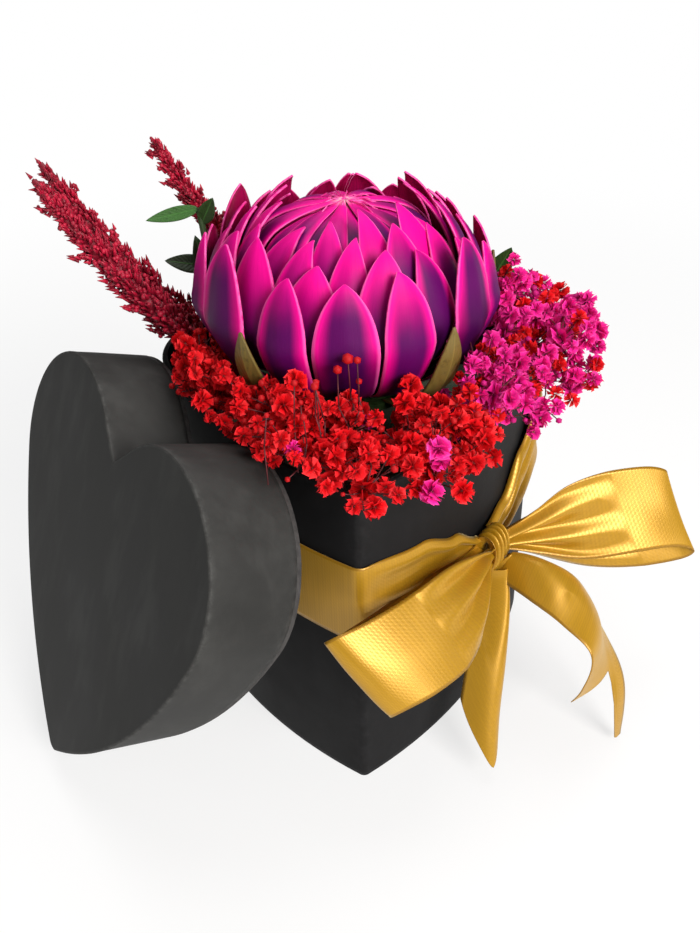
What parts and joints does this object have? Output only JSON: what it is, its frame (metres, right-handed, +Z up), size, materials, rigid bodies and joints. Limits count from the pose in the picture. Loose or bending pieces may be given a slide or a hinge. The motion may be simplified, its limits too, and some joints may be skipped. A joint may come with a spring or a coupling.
{
  "type": "flower box",
  "caption": "Heart-shaped black flower box with its lid leaning beside it, a gold ribbon tied in a bow, and a protea set in foam among gypsophila and amaranth.",
  "frame": {"origin": "on the base plane, at the middle of the heart-shaped box's length and width", "axes": "+Z up, -Y towards the heart's tip, +X to the right as the tip is seen"},
  "size_m": [0.2997, 0.2026, 0.2371],
  "materials": {
    "board": "matte",
    "black_paper": "matte",
    "gold_ribbon": "satin",
    "protea_bract": "satin",
    "protea_core": "satin",
    "basal_bract": "matte",
    "green_stem": "matte",
    "amaranth_red": "matte",
    "gypsophila_red": "matte",
    "gypsophila_pink": "matte",
    "leaf_green": "satin",
    "foam": "matte"
  },
  "bodies": {
    "box": {"amaranth_spike_back": "amaranth_red", "amaranth_spike_front": "amaranth_red", "amaranth_spike_middle": "amaranth_red", "bow_knot": "gold_ribbon", "bow_loop_left": "gold_ribbon", "bow_loop_right": "gold_ribbon", "box_base": "board", "box_wall": "board", "box_wrap": "black_paper", "foam_block": "foam", "leaf_sprig_left": "leaf_green", "leaf_sprig_right": "leaf_green", "pink_spray_back": "gypsophila_pink", "pink_spray_front": "gypsophila_pink", "pink_spray_side": "gypsophila_pink", "protea_basal_bracts": "basal_bract", "protea_bracts_1": "protea_bract", "protea_bracts_2": "protea_bract", "protea_bracts_3": "protea_bract", "protea_bracts_4": "protea_bract", "protea_core": "protea_core", "protea_receptacle": "green_stem", "protea_stem": "green_stem", "red_spray_left": "gypsophila_red", "red_spray_left_front": "gypsophila_red", "red_spray_middle": "gypsophila_red", "red_spray_right": "gypsophila_red", "red_spray_tip": "gypsophila_red", "ribbon_band": "gold_ribbon", "ribbon_tail_front": "gold_ribbon", "ribbon_tail_right": "gold_ribbon"},
    "lid": {"lid_wall": "board", "lid_top": "board", "lid_wrap": "black_paper"}
  },
  "joints": [
    {"name": "lid_slide", "type": "slide", "parent": "box", "child": "lid", "axis": [-0.8453, -0.5344, 0], "range_m": [0, 0.16]}
  ]
}
